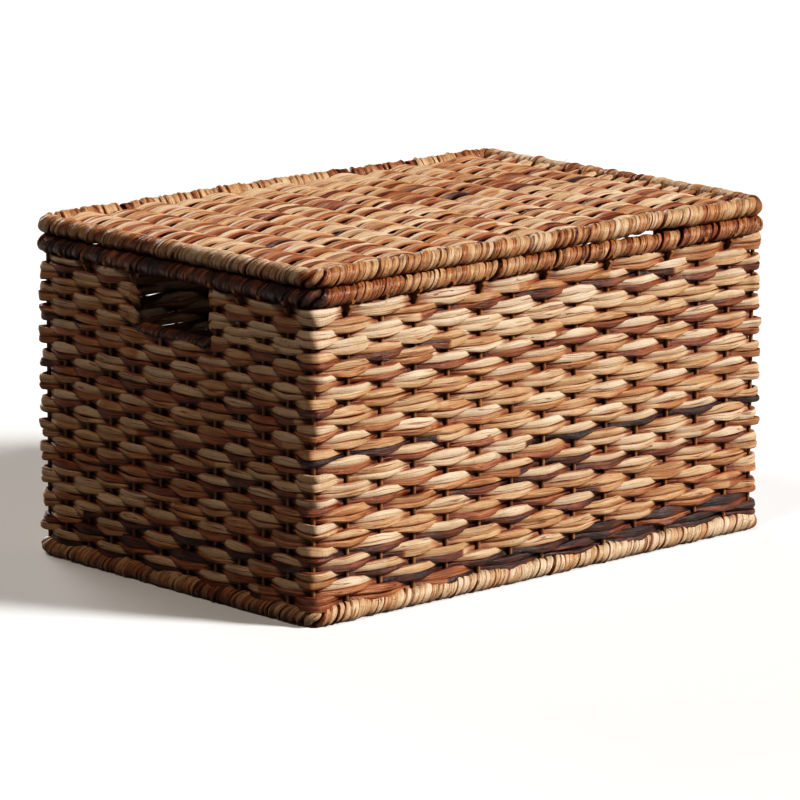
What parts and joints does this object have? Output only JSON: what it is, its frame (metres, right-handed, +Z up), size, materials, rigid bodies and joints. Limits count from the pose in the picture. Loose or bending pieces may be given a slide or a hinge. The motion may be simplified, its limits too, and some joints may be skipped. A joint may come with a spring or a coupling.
{
  "type": "wicker storage trunk",
  "caption": "Rectangular wicker storage trunk with a flat lashed lid, wound rims and a handhold through each end.",
  "frame": {"origin": "centre of the footprint, on the floor that the base rim stands on", "axes": "+X along the trunk from its left end to its right end, -Y out of the front, +Z up"},
  "size_m": [0.6, 0.4, 0.33],
  "materials": {
    "frame_rod": "dark brown paint on bent and welded steel rod",
    "rattan_stake": "peeled rattan, amber brown, satin",
    "wall_strand": "folded banana leaf strand, pale tan mixed with red brown and near black, dry and fibrous",
    "lid_strand": "folded banana leaf strand, mostly pale tan, dry and fibrous",
    "lid_winding": "twisted banana leaf strand wound tightly, tan to red brown",
    "dark_winding": "twisted banana leaf strand wound tightly, dark red brown",
    "base_winding": "banana leaf strand wound tightly, pale tan"
  },
  "bodies": {
    "trunk": {"base_ring": "frame_rod", "base_ribs": "rattan_stake", "base_weave": "wall_strand", "base_rim_winding": "base_winding", "corner_posts": "rattan_stake", "front_stakes": "rattan_stake", "back_stakes": "rattan_stake", "left_stakes": "rattan_stake", "right_stakes": "rattan_stake", "front_weave": "wall_strand", "back_weave": "wall_strand", "left_weave": "wall_strand", "right_weave": "wall_strand", "left_handhold_bar": "rattan_stake", "left_handhold_winding": "dark_winding", "right_handhold_bar": "rattan_stake", "right_handhold_winding": "dark_winding", "top_ring": "frame_rod", "top_rim_winding": "dark_winding", "left_hinge_lashing": "dark_winding", "right_hinge_lashing": "dark_winding"},
    "lid": {"lid_ring": "frame_rod", "lid_ribs": "rattan_stake", "lid_weave": "lid_strand", "lid_rim_winding": "lid_winding"}
  },
  "joints": [
    {"name": "lid_hinge", "type": "hinge", "parent": "trunk", "child": "lid", "pos_m": [0, 0.191, 0.321], "axis": [-1, 0, 0], "range_deg": [0, 185]}
  ]
}
